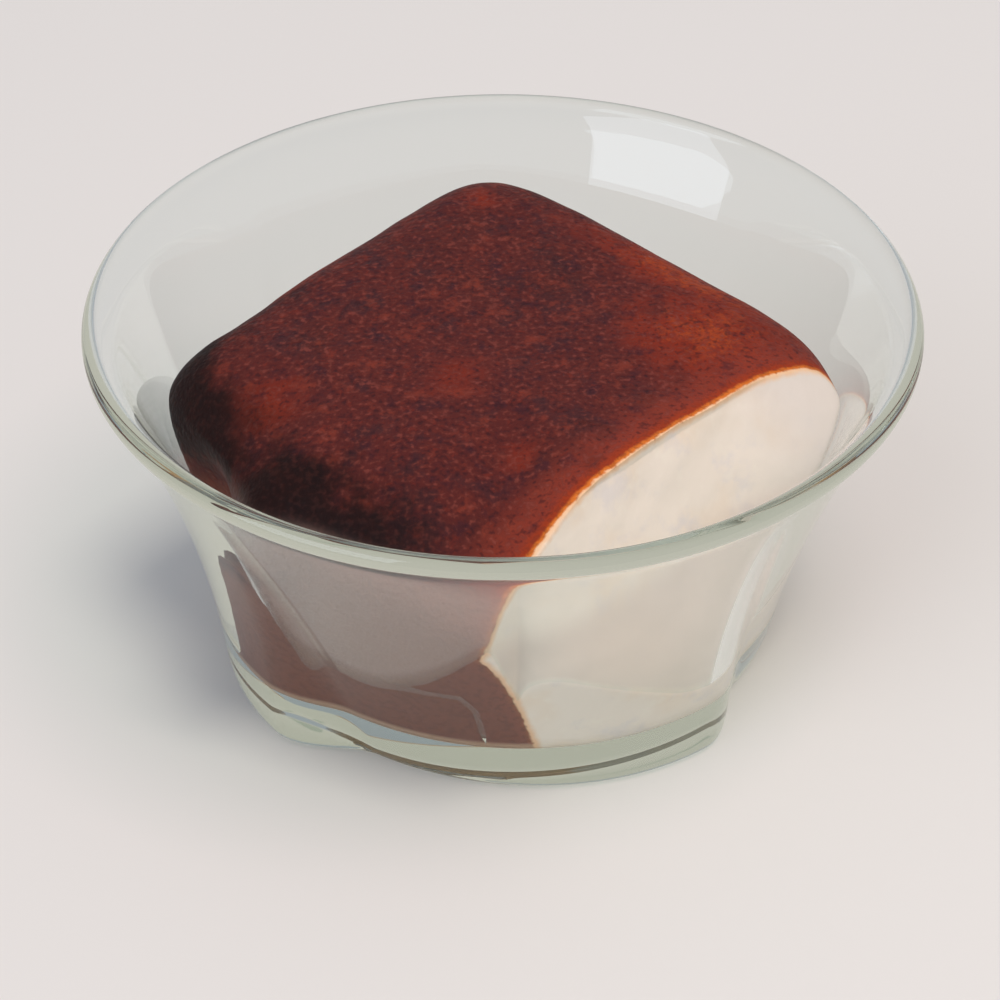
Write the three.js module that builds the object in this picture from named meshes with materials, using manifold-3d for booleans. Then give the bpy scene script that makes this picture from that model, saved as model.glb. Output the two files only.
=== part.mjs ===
// Kazandibi, a milk pudding with a caramelised skin, in the pressed-glass bowl it is served in.
//
// Millimetres, +Z up. The origin is the middle of the bowl's foot, on the surface it stands on.
// Directions round the bowl are azimuths in degrees: 0 points to the front (-Y), 90 to the
// right (+X) and 180 to the back (+Y).
//
// Two pieces, each one closed solid:
//   glass_bowl    a round flared rim over four petals that step back one behind the other
//   milk_pudding  a folded slab, pillow-topped, lying on the bowl's floor and against its wall,
//                 with one flat cut face at the front right

import * as THREE from 'three';
import { mergeVertices } from 'three/addons/utils/BufferGeometryUtils.js';
import Module from 'manifold-3d';

// ---------------------------------------------------------------- driving dimensions: bowl

const BOWL_HEIGHT = 55;
const RIM_RADIUS = 60;
const BEAD_RADIUS = 1.6;
const OUTSIDE_UNDER_RIM = 3.6; // how far below the rim's top the outer wall meets the bead
const INSIDE_UNDER_RIM = 2.1; // and the inner wall

const FOOT_RADIUS = 41.4; // outer wall at the foot, between the petals' highs and lows
const WALL_LEAN = 0.123; // how much the wall widens for each millimetre of height
const FLARE = 9.4; // extra widening of the wall under the rim
const FLARE_HEIGHT = 50;
const FLARE_POWER = 2;

const WALL_AT_FOOT = 3.3;
const WALL_AT_RIM = 2.7;
const FLOOR_THICKNESS = 7;
const FLOOR_FILLET = 3;
const FOOT_EDGE_FILLET = 1.5;
const RECESS_RADIUS = 33;
const RECESS_DEPTH = 0.8;
const RECESS_BEVEL = 1.2;

const PETALS = 4;
const PETAL_SPAN = 360 / PETALS;
const FIRST_CORNER = -48; // azimuth of the corner where one petal ends and the next starts
const PETAL_DEPTH = 5.5; // how far a petal's corner stands out from the next petal's start
const PETAL_TOP = 46.6; // height at which the petals have faded into the round
const PETAL_FADE = 1.6;
const PETAL_STEP_AT_TOP = 3.2; // width in degrees of the step between two petals
const PETAL_STEP_AT_FOOT = 20;
const PETAL_ARCH = 0.35; // share of a petal's rise that eases in and out
const INNER_PETAL_SHARE = 0.75; // the inner face follows the petals more softly

// ------------------------------------------------------------- driving dimensions: pudding

const GAP = 0.3; // clearance kept between the pudding and the glass
const SHOULDER_HEIGHT = 30.6; // where the pudding's side turns over into its top
const TOP_RISE = 17.3; // from the shoulder to the top
const MIDDLE_RISE = 17.6;
const SIDE_TUCK = 0.06; // how much narrower the pudding is at the floor than at the shoulder
const ROUNDNESS = 3; // superellipse power of the turn from side to top
const OUTLINE_POWER = 9; // the higher, the tighter the corners between the sides

// The slab's sides in plan: the azimuth each one faces and its distance from the bowl's axis.
const SIDES = [
  { name: 'back left', faces: 226, distance: 38.4 },
  { name: 'back right', faces: 143, distance: 40 },
  { name: 'front left', faces: -60.5, distance: 44.4 },
  { name: 'front', faces: -23.5, distance: 43.1 },
  { name: 'right corner', faces: 94, distance: 50.2 },
];
const LEFT_TIP = { azimuth: -98, spread: 10, reach: 2.1 }; // the corner drawn out to the glass

const BACK_CORNER = { azimuth: 184, spread: 42, lift: 3.9, sharpSpread: 66, sharpness: 2.6 };
const LEFT_BACK = { azimuth: -125, spread: 20, lift: 1.5, sharpness: 0.5 };
const CUT_END = { azimuth: 4, spread: 15, softness: 0.85 }; // where the top turns down most slowly
// The side's swell into a petal's step and its hollow beside it, both fading out upwards.
const SIDE_WAVES = [
  { azimuth: -51, spread: 6.5, reach: 5.5, top: 46, fade: 12 },
  { azimuth: -72, spread: 9, reach: -4.5, top: 40, fade: 8 },
];
const RIGHT_END = { azimuth: 93, spread: 24, lift: 0.5, sharpness: 0.3 };

const CUT_FACES = 46.7; // azimuth that the cut face looks towards
const CUT_DISTANCE = 30.3; // from the bowl's axis to the cut face along its upper edge
const SAG = 13; // how far the soft cut face slumps out at the floor, where the glass lets it
const SAG_TOP = 46;
const SAG_HEIGHT = 38;
const SAG_CENTRE = 4;
const SAG_HALF_WIDTH = 33;
const SAG_POWER = 4;
// The cut face bows out towards its right end, below a height.
const END_SWELL = { reach: 5.7, from: 8, over: 19, top: 48.5, fade: 15 };

// -------------------------------------------------------------------------- mesh fineness

const STEP_COLUMNS = 6; // mesh columns across the step between two petals
const PETAL_COLUMNS = 14; // and along the rest of each petal
const OUTSIDE_ROWS = 8; // rows up the bowl's outside, over its rim and down its inside
const RIM_ROWS = 7;
const INSIDE_ROWS = 7;
const FILLET_ROWS = 3;
const CUT_COLUMNS = 44; // cells across and up the pudding's cut face
const CUT_ROWS = 28;

// -------------------------------------------------------------------------------- helpers

const { cos, sin, tan, sqrt, PI, max, min } = Math;
const radians = THREE.MathUtils.degToRad;
const clamp01 = (value) => THREE.MathUtils.clamp(value, 0, 1);
const eased = (value) => THREE.MathUtils.smoothstep(value, 0, 1);
const mix = THREE.MathUtils.lerp;

// A soft hump of height 1 round an azimuth, with the given spread in degrees.
function hump(azimuth, centre, spread) {
  const away = THREE.MathUtils.euclideanModulo(azimuth - centre + 180, 360) - 180;
  return Math.exp(-((away / spread) ** 2));
}

// Points on an arc in the profile plane, angles in degrees from the outward direction.
function arc(centreRadius, centreHeight, radius, from, to, steps) {
  return Array.from({ length: steps + 1 }, (_, i) => {
    const angle = radians(mix(from, to, i / steps));
    return { radius: centreRadius + radius * cos(angle), height: centreHeight + radius * sin(angle) };
  });
}

// ----------------------------------------------------------------------- the bowl's shape

// How far along its rise a petal is, from -0.5 where it starts to 0.5 at its corner.
function petalPhase(azimuth, height) {
  const upness = clamp01(height / PETAL_TOP);
  const step = mix(PETAL_STEP_AT_FOOT, PETAL_STEP_AT_TOP, upness);
  const past = THREE.MathUtils.euclideanModulo(azimuth - FIRST_CORNER, PETAL_SPAN);
  if (past < step) return 0.5 * cos((PI * past) / step);
  const rise = (past - step) / (PETAL_SPAN - step);
  return mix(rise, 0.5 - 0.5 * cos(PI * rise), PETAL_ARCH) - 0.5;
}

function petalDepth(height) {
  return PETAL_DEPTH * clamp01(1 - height / PETAL_TOP) ** PETAL_FADE;
}

function wallRadius(height) {
  return FOOT_RADIUS + WALL_LEAN * height + FLARE * (height / FLARE_HEIGHT) ** FLARE_POWER;
}

function wallThickness(height) {
  return mix(WALL_AT_FOOT, WALL_AT_RIM, height / BOWL_HEIGHT);
}

// The inner wall without its petals, rounded into the floor.
function innerWallRadius(height) {
  const depth = clamp01((FLOOR_THICKNESS + FLOOR_FILLET - height) / FLOOR_FILLET);
  return wallRadius(height) - wallThickness(height) - FLOOR_FILLET * (1 - sqrt(1 - depth * depth));
}

function innerRadius(azimuth, height) {
  const petal = INNER_PETAL_SHARE * petalDepth(height) * petalPhase(azimuth, height);
  return innerWallRadius(height) + petal;
}

// The bowl's section from the axis under the foot, up the outside, over the rim and down the
// inside back to the axis. `petal` is the share of the petals' relief that a point takes.
function bowlProfile() {
  const bead = { radius: RIM_RADIUS - BEAD_RADIUS, height: BOWL_HEIGHT - BEAD_RADIUS };
  const heights = (from, to, steps, ease) =>
    Array.from({ length: steps + 1 }, (_, i) => mix(from, to, (i / steps) ** ease));

  const footEdge = wallRadius(0) - FOOT_EDGE_FILLET;
  const under = [
    { radius: 0, height: RECESS_DEPTH, petal: 0 },
    { radius: RECESS_RADIUS, height: RECESS_DEPTH, petal: 0 },
    { radius: RECESS_RADIUS + RECESS_BEVEL, height: 0, petal: 0 },
    ...arc(footEdge, FOOT_EDGE_FILLET, FOOT_EDGE_FILLET, -90, -20, FILLET_ROWS)
      .map((p) => ({ ...p, petal: 1 })),
  ];
  const outside = heights(FOOT_EDGE_FILLET * 2, BOWL_HEIGHT - OUTSIDE_UNDER_RIM, OUTSIDE_ROWS, 0.8)
    .map((height) => ({ radius: wallRadius(height), height, petal: 1 }));
  const rim = arc(bead.radius, bead.height, BEAD_RADIUS, -50, 150, RIM_ROWS)
    .map((p) => ({ ...p, petal: 0 }));
  const filletHeight = FLOOR_THICKNESS + FLOOR_FILLET;
  const inside = heights(BOWL_HEIGHT - INSIDE_UNDER_RIM, filletHeight, INSIDE_ROWS, 1.2)
    .map((height) => ({ radius: innerWallRadius(height), height, petal: INNER_PETAL_SHARE }));
  const filletCentre = innerWallRadius(filletHeight) - FLOOR_FILLET;
  const fillet = arc(filletCentre, filletHeight, FLOOR_FILLET, -22.5, -90, FILLET_ROWS)
    .map((p) => ({ ...p, petal: INNER_PETAL_SHARE }));
  const floor = [{ radius: 0, height: FLOOR_THICKNESS, petal: 0 }];
  return [...under, ...outside, ...rim, ...inside, ...fillet, ...floor];
}

// Azimuths of the mesh columns, closer together across each step between two petals.
function columnAzimuths() {
  const azimuths = [];
  for (let petal = 0; petal < PETALS; petal++) {
    const corner = FIRST_CORNER + petal * PETAL_SPAN;
    for (let i = 0; i < STEP_COLUMNS; i++) {
      azimuths.push(corner + (PETAL_STEP_AT_FOOT * i) / STEP_COLUMNS);
    }
    for (let i = 0; i < PETAL_COLUMNS; i++) {
      azimuths.push(mix(corner + PETAL_STEP_AT_FOOT, corner + PETAL_SPAN, i / PETAL_COLUMNS));
    }
  }
  return azimuths;
}

// A lathe with the given columns and rows whose vertices `place` then puts where they belong.
function shapedLathe(azimuths, rows, place) {
  const seed = rows.map((row, i) => new THREE.Vector2(i === 0 || i === rows.length - 1 ? 0 : 1, i));
  const geometry = new THREE.LatheGeometry(seed, azimuths.length);
  const position = geometry.getAttribute('position');
  for (let column = 0; column <= azimuths.length; column++) {
    const azimuth = azimuths[column % azimuths.length];
    rows.forEach((row, i) => {
      const { radius, height } = place(azimuth, row);
      const x = radius * sin(radians(azimuth));
      const y = -radius * cos(radians(azimuth));
      position.setXYZ(column * rows.length + i, x, y, height);
    });
  }
  return asClosedMesh(geometry);
}

// Shared corners merged and the empty triangles at the axis dropped.
function asClosedMesh(geometry) {
  geometry.deleteAttribute('normal');
  geometry.deleteAttribute('uv');
  const merged = mergeVertices(geometry, 1e-5);
  const index = merged.getIndex();
  const kept = [];
  for (let i = 0; i < index.count; i += 3) {
    const [a, b, c] = [index.getX(i), index.getX(i + 1), index.getX(i + 2)];
    if (a !== b && b !== c && c !== a) kept.push(a, b, c);
  }
  merged.setIndex(kept);
  return merged;
}

function bowlGeometry() {
  return shapedLathe(columnAzimuths(), bowlProfile(), (azimuth, { radius, height, petal }) => ({
    radius: radius + petal * petalDepth(height) * petalPhase(azimuth, height),
    height,
  }));
}

// -------------------------------------------------------------------- the pudding's shape

// The slab's outline in plan: a polygon of its sides with rounded corners and one drawn-out tip.
function outlineRadius(azimuth) {
  const sum = SIDES.reduce((total, { faces, distance }) => {
    const facing = max(0, cos(radians(azimuth - faces)));
    return total + (facing / distance) ** OUTLINE_POWER;
  }, 0);
  const tip = LEFT_TIP.reach * hump(azimuth, LEFT_TIP.azimuth, LEFT_TIP.spread);
  return sum ** (-1 / OUTLINE_POWER) + tip;
}

function edgeRise(azimuth) {
  return [BACK_CORNER, LEFT_BACK, RIGHT_END].reduce(
    (rise, corner) => rise + corner.lift * hump(azimuth, corner.azimuth, corner.spread),
    TOP_RISE,
  );
}

function turnPower(azimuth) {
  return ROUNDNESS
    + BACK_CORNER.sharpness * hump(azimuth, BACK_CORNER.azimuth, BACK_CORNER.sharpSpread)
    + LEFT_BACK.sharpness * hump(azimuth, LEFT_BACK.azimuth, LEFT_BACK.spread)
    + RIGHT_END.sharpness * hump(azimuth, RIGHT_END.azimuth, RIGHT_END.spread)
    - CUT_END.softness * hump(azimuth, CUT_END.azimuth, CUT_END.spread);
}

function sideWave(azimuth, height) {
  return SIDE_WAVES.reduce(
    (total, { azimuth: middle, spread, reach, top, fade }) => (
      total + reach * hump(azimuth, middle, spread) * clamp01((top - height) / fade)
    ),
    0,
  );
}

// Rows of the slab's surface: the underside, the side up to the shoulder and the rounded top.
// `up` runs from 0 at the floor to 1 at the shoulder, `turn` from 0 degrees there to 90 on top.
function slabRows() {
  const side = [0.02, 0.06, 0.14, 0.26, 0.42, 0.6, 0.8].map((up) => ({ up, turn: 0 }));
  const top = [0, 8, 16, 24, 32, 40, 49, 58, 67, 75, 82, 87].map((turn) => ({ up: 1, turn }));
  return [{ up: 0, turn: 0, middle: true }, { up: 0, turn: 0 }, ...side, ...top, { up: 1, turn: 90 }];
}

// The whole slab before it is cut, spread against the glass where it is wider than the bowl.
function placeOnSlab(azimuth, { up, turn, middle }) {
  const floor = FLOOR_THICKNESS + GAP;
  if (middle) return { radius: 0, height: floor };
  const power = turnPower(azimuth);
  const share = turn === 90 ? 0 : cos(radians(turn)) ** (2 / power);
  const rise = mix(MIDDLE_RISE, edgeRise(azimuth), share * share);
  const height = mix(floor, SHOULDER_HEIGHT, up) + rise * sin(radians(turn)) ** (2 / power);
  const side = outlineRadius(azimuth) * share * (1 - SIDE_TUCK * (1 - up));
  const free = side + sideWave(azimuth, height);
  return { radius: min(free, innerRadius(azimuth, height - GAP) - GAP), height };
}

function endSwell(along, height) {
  const share = eased((along - END_SWELL.from) / END_SWELL.over);
  return END_SWELL.reach * share * eased((END_SWELL.top - height) / END_SWELL.fade);
}

// The space in front of the cut face: a block whose near side slumps out towards the floor.
function cutAway() {
  const width = 130;
  const depth = 60;
  const bottom = -10;
  const top = BOWL_HEIGHT + 20;
  const block = new THREE.BoxGeometry(width, depth, top - bottom, CUT_COLUMNS, 1, CUT_ROWS);
  block.translate(0, -CUT_DISTANCE - depth / 2, (top + bottom) / 2);
  const position = block.getAttribute('position');
  for (let i = 0; i < position.count; i++) {
    const along = position.getX(i);
    const height = position.getZ(i);
    const isNearSide = position.getY(i) > -CUT_DISTANCE - depth / 2;
    const low = clamp01((SAG_TOP - height) / SAG_HEIGHT);
    const inside = clamp01(1 - ((along - SAG_CENTRE) / SAG_HALF_WIDTH) ** SAG_POWER);
    const bow = SAG * low * inside + endSwell(along, height);
    if (isNearSide) position.setY(i, position.getY(i) - bow);
  }
  block.rotateZ(radians(CUT_FACES));
  return asClosedMesh(block);
}

async function puddingGeometry() {
  const wasm = await Module();
  wasm.setup();
  const asSolid = (geometry) => new wasm.Manifold(new wasm.Mesh({
    numProp: 3,
    vertProperties: new Float32Array(geometry.getAttribute('position').array),
    triVerts: new Uint32Array(geometry.getIndex().array),
  }));
  const slab = asSolid(shapedLathe(columnAzimuths(), slabRows(), placeOnSlab));
  const mesh = slab.subtract(asSolid(cutAway())).getMesh();
  const geometry = new THREE.BufferGeometry();
  geometry.setAttribute('position', new THREE.BufferAttribute(mesh.vertProperties, 3));
  geometry.setIndex(new THREE.BufferAttribute(mesh.triVerts, 1));
  return geometry;
}

// -------------------------------------------------------------------------- the two pieces

function makeBowl() {
  const material = new THREE.MeshStandardMaterial({ color: 0xcfd8d2, roughness: 0.04, metalness: 0 });
  const bowl = new THREE.Mesh(bowlGeometry(), material);
  bowl.name = 'glass_bowl';
  return bowl;
}

async function makePudding() {
  const material = new THREE.MeshStandardMaterial({ color: 0x5f2b26, roughness: 0.6, metalness: 0 });
  const pudding = new THREE.Mesh(await puddingGeometry(), material);
  pudding.name = 'milk_pudding';
  return pudding;
}

const dessert = new THREE.Group();
dessert.add(makeBowl(), await makePudding());

export default dessert;
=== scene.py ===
# %% [markdown]
# # Milk pudding with a caramelised skin, in a pressed-glass bowl
#
# This dessert is milk pudding cooked on a hot tray until its underside turns to a dark caramel
# skin. A piece is cut, folded over with the skin outwards and laid in a small glass bowl, where
# it slumps against the wall. Two things are made here: the bowl and the pudding. Every length
# below is in millimetres and is turned into metres when a mesh is made. A direction round the
# bowl is an azimuth in degrees: 0 is the front (-Y), 90 the right (+X), 180 the back.

from math import cos, pi, radians, sin

import bpy
import numpy as np
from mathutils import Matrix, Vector, noise
from mathutils.kdtree import KDTree


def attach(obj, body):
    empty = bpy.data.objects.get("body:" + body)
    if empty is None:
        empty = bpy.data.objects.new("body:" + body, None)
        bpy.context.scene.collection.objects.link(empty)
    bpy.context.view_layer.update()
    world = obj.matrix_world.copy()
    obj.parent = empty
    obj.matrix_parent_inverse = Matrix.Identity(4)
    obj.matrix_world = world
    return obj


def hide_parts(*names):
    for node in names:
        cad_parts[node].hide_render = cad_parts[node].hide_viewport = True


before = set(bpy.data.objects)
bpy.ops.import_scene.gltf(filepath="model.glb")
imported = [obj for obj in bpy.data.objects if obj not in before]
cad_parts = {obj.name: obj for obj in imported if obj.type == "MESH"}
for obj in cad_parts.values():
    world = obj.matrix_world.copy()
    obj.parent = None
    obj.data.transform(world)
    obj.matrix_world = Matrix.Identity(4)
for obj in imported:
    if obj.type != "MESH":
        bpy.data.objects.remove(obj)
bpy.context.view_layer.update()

# %% [markdown]
# ## A few small tools
#
# A mesh in Blender is a list of points and a list of faces that name them. Both pieces here are
# surfaces that run round the bowl's axis, so both are made from a grid: columns go round, rows
# go from the axis underneath, up the side, and back to the axis on top. The first and the last
# row shrink to one point each, and the grid closes with a fan of triangles there.

# %% Colours, positions and grids
MM = 0.001


def linear(hex_colour):
    """The linear RGBA of an sRGB hex colour."""
    channels = [int(hex_colour[i : i + 2], 16) / 255 for i in (1, 3, 5)]
    return [c / 12.92 if c <= 0.04045 else ((c + 0.055) / 1.055) ** 2.4 for c in channels] + [1.0]


def around(azimuth, radius, height):
    """Points in metres from azimuths in degrees, and radii and heights in millimetres."""
    turn = np.radians(azimuth)
    x, y, z = np.broadcast_arrays(radius * np.sin(turn), -radius * np.cos(turn), height)
    return np.stack([x, y, z], axis=-1) * MM


def mesh_piece(name, points, faces):
    """A new smooth-shaded object from points in metres and faces."""
    mesh = bpy.data.meshes.new(name)
    mesh.from_pydata(points.tolist(), [], faces)
    mesh.update()
    mesh.shade_smooth()
    piece = bpy.data.objects.new(name, mesh)
    bpy.context.collection.objects.link(piece)
    return piece


def grid_faces(columns, rows, closed):
    """Quads of a grid whose point (column, row) has number column * rows + row."""
    faces = []
    for column in range(columns if closed else columns - 1):
        beside = (column + 1) % columns
        for row in range(rows - 1):
            here, there = column * rows + row, beside * rows + row
            faces.append((here, there, there + 1, here + 1))
    return faces


def store(piece, name, values):
    """One number for each point of a piece, which its material can read by name."""
    attribute = piece.data.attributes.new(name, "FLOAT", "POINT")
    attribute.data.foreach_set("value", np.asarray(values, dtype=np.float32))


# %% [markdown]
# ## The camera
#
# The bowl is looked at from the front and from above, at about 37 degrees, through a long lens
# from about 0.6 m away. A long lens keeps the rim's ellipse nearly the same at the front and
# the back.

# %% Camera
CAMERA_PLACE = (0.0, -0.4721, 0.3756)
CAMERA_TILT = 53.08  # degrees up from looking straight down
CAMERA_TURN = 0.0475  # degrees
CAMERA_LENS = 144.0  # mm
SENSOR = 36.0

camera = bpy.data.objects.new("camera", bpy.data.cameras.new("camera"))
camera.data.lens = CAMERA_LENS
camera.data.sensor_width = SENSOR
camera.location = CAMERA_PLACE
camera.rotation_euler = (radians(CAMERA_TILT), 0.0, radians(CAMERA_TURN))
bpy.context.collection.objects.link(camera)
bpy.context.scene.camera = camera
print("camera at", CAMERA_PLACE, "lens", CAMERA_LENS)

# %% [markdown]
# ## The bowl's shape
#
# The bowl was pressed in a mould. Its rim is round, with a fire-polished bead, and the wall
# below flares. Lower down the wall is four petals: each one swells slowly outwards as it goes
# round and then steps back in, where the next one starts. The petals fade out under the rim.
#
# A rule gives all of this: the radius at a height, plus the petals' relief at that height times
# how far along its petal a direction is. The same rule, with less relief, gives the inside.

# %% The rule for the wall
BOWL_HEIGHT = 55.0
RIM_RADIUS = 60.0
BEAD_RADIUS = 1.6
FOOT_RADIUS = 41.4
WALL_LEAN = 0.123
FLARE, FLARE_HEIGHT, FLARE_POWER = 9.4, 50.0, 2.0
WALL_AT_FOOT, WALL_AT_RIM = 3.3, 2.7
FLOOR_THICKNESS = 7.0
FLOOR_FILLET = 3.0
PETALS = 4
PETAL_SPAN = 360.0 / PETALS
FIRST_CORNER = -48.0
PETAL_DEPTH, PETAL_TOP, PETAL_FADE = 5.5, 46.6, 1.6
STEP_AT_FOOT, STEP_AT_TOP = 20.0, 3.2
PETAL_ARCH = 0.35
INNER_PETAL_SHARE = 0.75


def petal_phase(azimuth, height):
    """How far along its swell a petal is: -0.5 where it starts, 0.5 at its corner."""
    lowness = np.clip(1 - height / PETAL_TOP, 0, 1)
    step = STEP_AT_TOP + (STEP_AT_FOOT - STEP_AT_TOP) * lowness
    past = (azimuth - FIRST_CORNER) % PETAL_SPAN
    fall = 0.5 * np.cos(pi * np.clip(past / step, 0, 1))
    rise = np.clip((past - step) / (PETAL_SPAN - step), 0, 1)
    eased = 0.5 - 0.5 * np.cos(pi * rise)
    swell = rise + PETAL_ARCH * (eased - rise) - 0.5
    return np.where(past < step, fall, swell)


def petal_relief(azimuth, height):
    depth = PETAL_DEPTH * np.clip(1 - height / PETAL_TOP, 0, 1) ** PETAL_FADE
    return depth * petal_phase(azimuth, height)


def wall_radius(height):
    flare = FLARE * (np.clip(height, 0, None) / FLARE_HEIGHT) ** FLARE_POWER
    return FOOT_RADIUS + WALL_LEAN * height + flare


def inner_radius(azimuth, height):
    """The inside of the wall, rounded into the floor."""
    thickness = WALL_AT_FOOT + (WALL_AT_RIM - WALL_AT_FOOT) * height / BOWL_HEIGHT
    depth = np.clip((FLOOR_THICKNESS + FLOOR_FILLET - height) / FLOOR_FILLET, 0, 1)
    rounding = FLOOR_FILLET * (1 - np.sqrt(1 - depth * depth))
    relief = INNER_PETAL_SHARE * petal_relief(azimuth, height)
    return wall_radius(height) - thickness - rounding + relief


print("inside radius at half height", round(float(inner_radius(0.0, BOWL_HEIGHT / 2)), 2), "mm")

# %% [markdown]
# ## One petal, from under the foot to the rim and back down to the floor
#
# The section is a line of (radius, height, share of the relief). It starts at the axis under the
# foot, passes the flat ring that the bowl stands on, climbs the outside, goes over the bead and
# comes down the inside. Relaxing the line a little, by moving each point towards the middle of
# its neighbours, melts its corners as fire polishing does. Glass shows every kink, so the rows
# lie close together at the bead and the foot.

# %% The section
RECESS_RADIUS, RECESS_DEPTH, RECESS_BEVEL = 33.0, 0.8, 1.2
FOOT_EDGE = 1.5
OUTSIDE_UNDER_RIM = 3.6
INSIDE_UNDER_RIM = 2.1
RECESS_RADII = (0, 11, 22, 30, 32, 32.6, 33, 33.3, 33.7, 34, 34.2)
RING_RADII = (34.6, 35.4, 36.8, 38.2, 39.2, 39.7)
FLOOR_RADII = (37.5, 36.8, 35.5, 33.0, 28.0, 20.0, 10.0, 0.0)
OUTSIDE_ROWS, INSIDE_ROWS, BEAD_ROWS, EDGE_ROWS = 64, 70, 26, 9
RELAX_ROUNDS, RELAX_SHARE = 3, 0.25


def arc(radius, height, size, start, stop, steps):
    turn = np.radians(np.linspace(start, stop, steps))
    return np.stack([radius + size * np.cos(turn), height + size * np.sin(turn)], axis=1)


def with_share(points, share):
    return np.column_stack([points, np.full(len(points), share)])


def bowl_section():
    edge = wall_radius(0.0) - FOOT_EDGE
    under_radii = np.array(RECESS_RADII + RING_RADII)
    beyond = np.clip((under_radii - RECESS_RADIUS) / RECESS_BEVEL, 0, 1)
    under = np.column_stack([under_radii, RECESS_DEPTH * (1 - beyond)])
    climb = np.linspace(FOOT_EDGE * 1.5, BOWL_HEIGHT - OUTSIDE_UNDER_RIM, OUTSIDE_ROWS)
    descend = np.linspace(BOWL_HEIGHT - INSIDE_UNDER_RIM, FLOOR_THICKNESS, INSIDE_ROWS)[:-1]
    outside = np.column_stack([wall_radius(climb), climb])
    inside = np.column_stack([inner_radius(0.0, descend), descend])
    inside[:, 0] -= INNER_PETAL_SHARE * petal_relief(0.0, descend)
    bead_middle = (RIM_RADIUS - BEAD_RADIUS, BOWL_HEIGHT - BEAD_RADIUS)
    bead = arc(*bead_middle, BEAD_RADIUS, -60, 155, BEAD_ROWS)
    floor = np.column_stack([FLOOR_RADII, np.full(len(FLOOR_RADII), FLOOR_THICKNESS)])
    section = np.vstack([
        with_share(under[:len(RECESS_RADII)], 0.0),
        with_share(under[len(RECESS_RADII):], 1.0),
        with_share(arc(edge, FOOT_EDGE, FOOT_EDGE, -86, -8, EDGE_ROWS), 1.0),
        with_share(outside, 1.0),
        with_share(bead, 0.0),
        with_share(inside, INNER_PETAL_SHARE),
        with_share(floor, INNER_PETAL_SHARE),
    ])
    for _ in range(RELAX_ROUNDS):
        to_neighbours = section[:-2, :2] + section[2:, :2] - 2 * section[1:-1, :2]
        section[1:-1, :2] += RELAX_SHARE * to_neighbours
    return section


section = bowl_section()
print("section of", len(section), "points, top at", round(float(section[:, 1].max()), 2), "mm")

# %% The mesh of one petal
STEP_COLUMNS = 26
SWELL_COLUMNS = 56
FLOOR_RADIUS = 38  # inside this the petals' relief shrinks to nothing at the axis

step_part = FIRST_CORNER + np.linspace(0, STEP_AT_FOOT, STEP_COLUMNS, endpoint=False)
swell_part = np.linspace(FIRST_CORNER + STEP_AT_FOOT, FIRST_CORNER + PETAL_SPAN, SWELL_COLUMNS + 1)
petal_azimuths = np.concatenate([step_part, swell_part])
radii = section[:, 0] + section[:, 2] * petal_relief(petal_azimuths[:, None], section[:, 1])
at_floor_height = np.abs(section[:, 1] - FLOOR_THICKNESS) < 0.3
on_floor = (section[:, 2] > 0) & (section[:, 0] < FLOOR_RADIUS) & at_floor_height
plain_radii = section[on_floor, 0]
radii[:, on_floor] = plain_radii + (radii[:, on_floor] - plain_radii) * (plain_radii / FLOOR_RADIUS)
petal_points = around(petal_azimuths[:, None], radii, section[:, 1])
petal = mesh_piece(
    "petal",
    petal_points.reshape(-1, 3),
    grid_faces(len(petal_azimuths), len(section), closed=False),
)
bead_end = int(np.argmax(section[:, 1]))
outside = np.arange(len(section)) <= bead_end
store(petal, "outside", np.tile(outside, len(petal_azimuths)))
print("one petal has", len(petal.data.polygons), "faces")

# %% [markdown]
# ## Four petals make the bowl
#
# The bowl is the same petal four times round the axis, so Geometry Nodes repeat it: four points
# at the centre, one petal on each, turned a quarter further each time. Realize Instances turns
# the copies into one mesh, Merge by Distance sews them along their edges, and the result is a
# closed skin. The number of petals and the sewing distance are inputs of the tree.

# %% One small function adds a node
def add_node(tree, kind, inputs=None, **settings):
    """A new node. `inputs` maps a socket's name or number to a value or to an output socket."""
    node = tree.nodes.new(kind)
    for name, value in settings.items():
        setattr(node, name, value)
    for key, value in (inputs or {}).items():
        if isinstance(value, bpy.types.NodeSocket):
            tree.links.new(value, node.inputs[key])
        else:
            node.inputs[key].default_value = value
    return node


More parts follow.
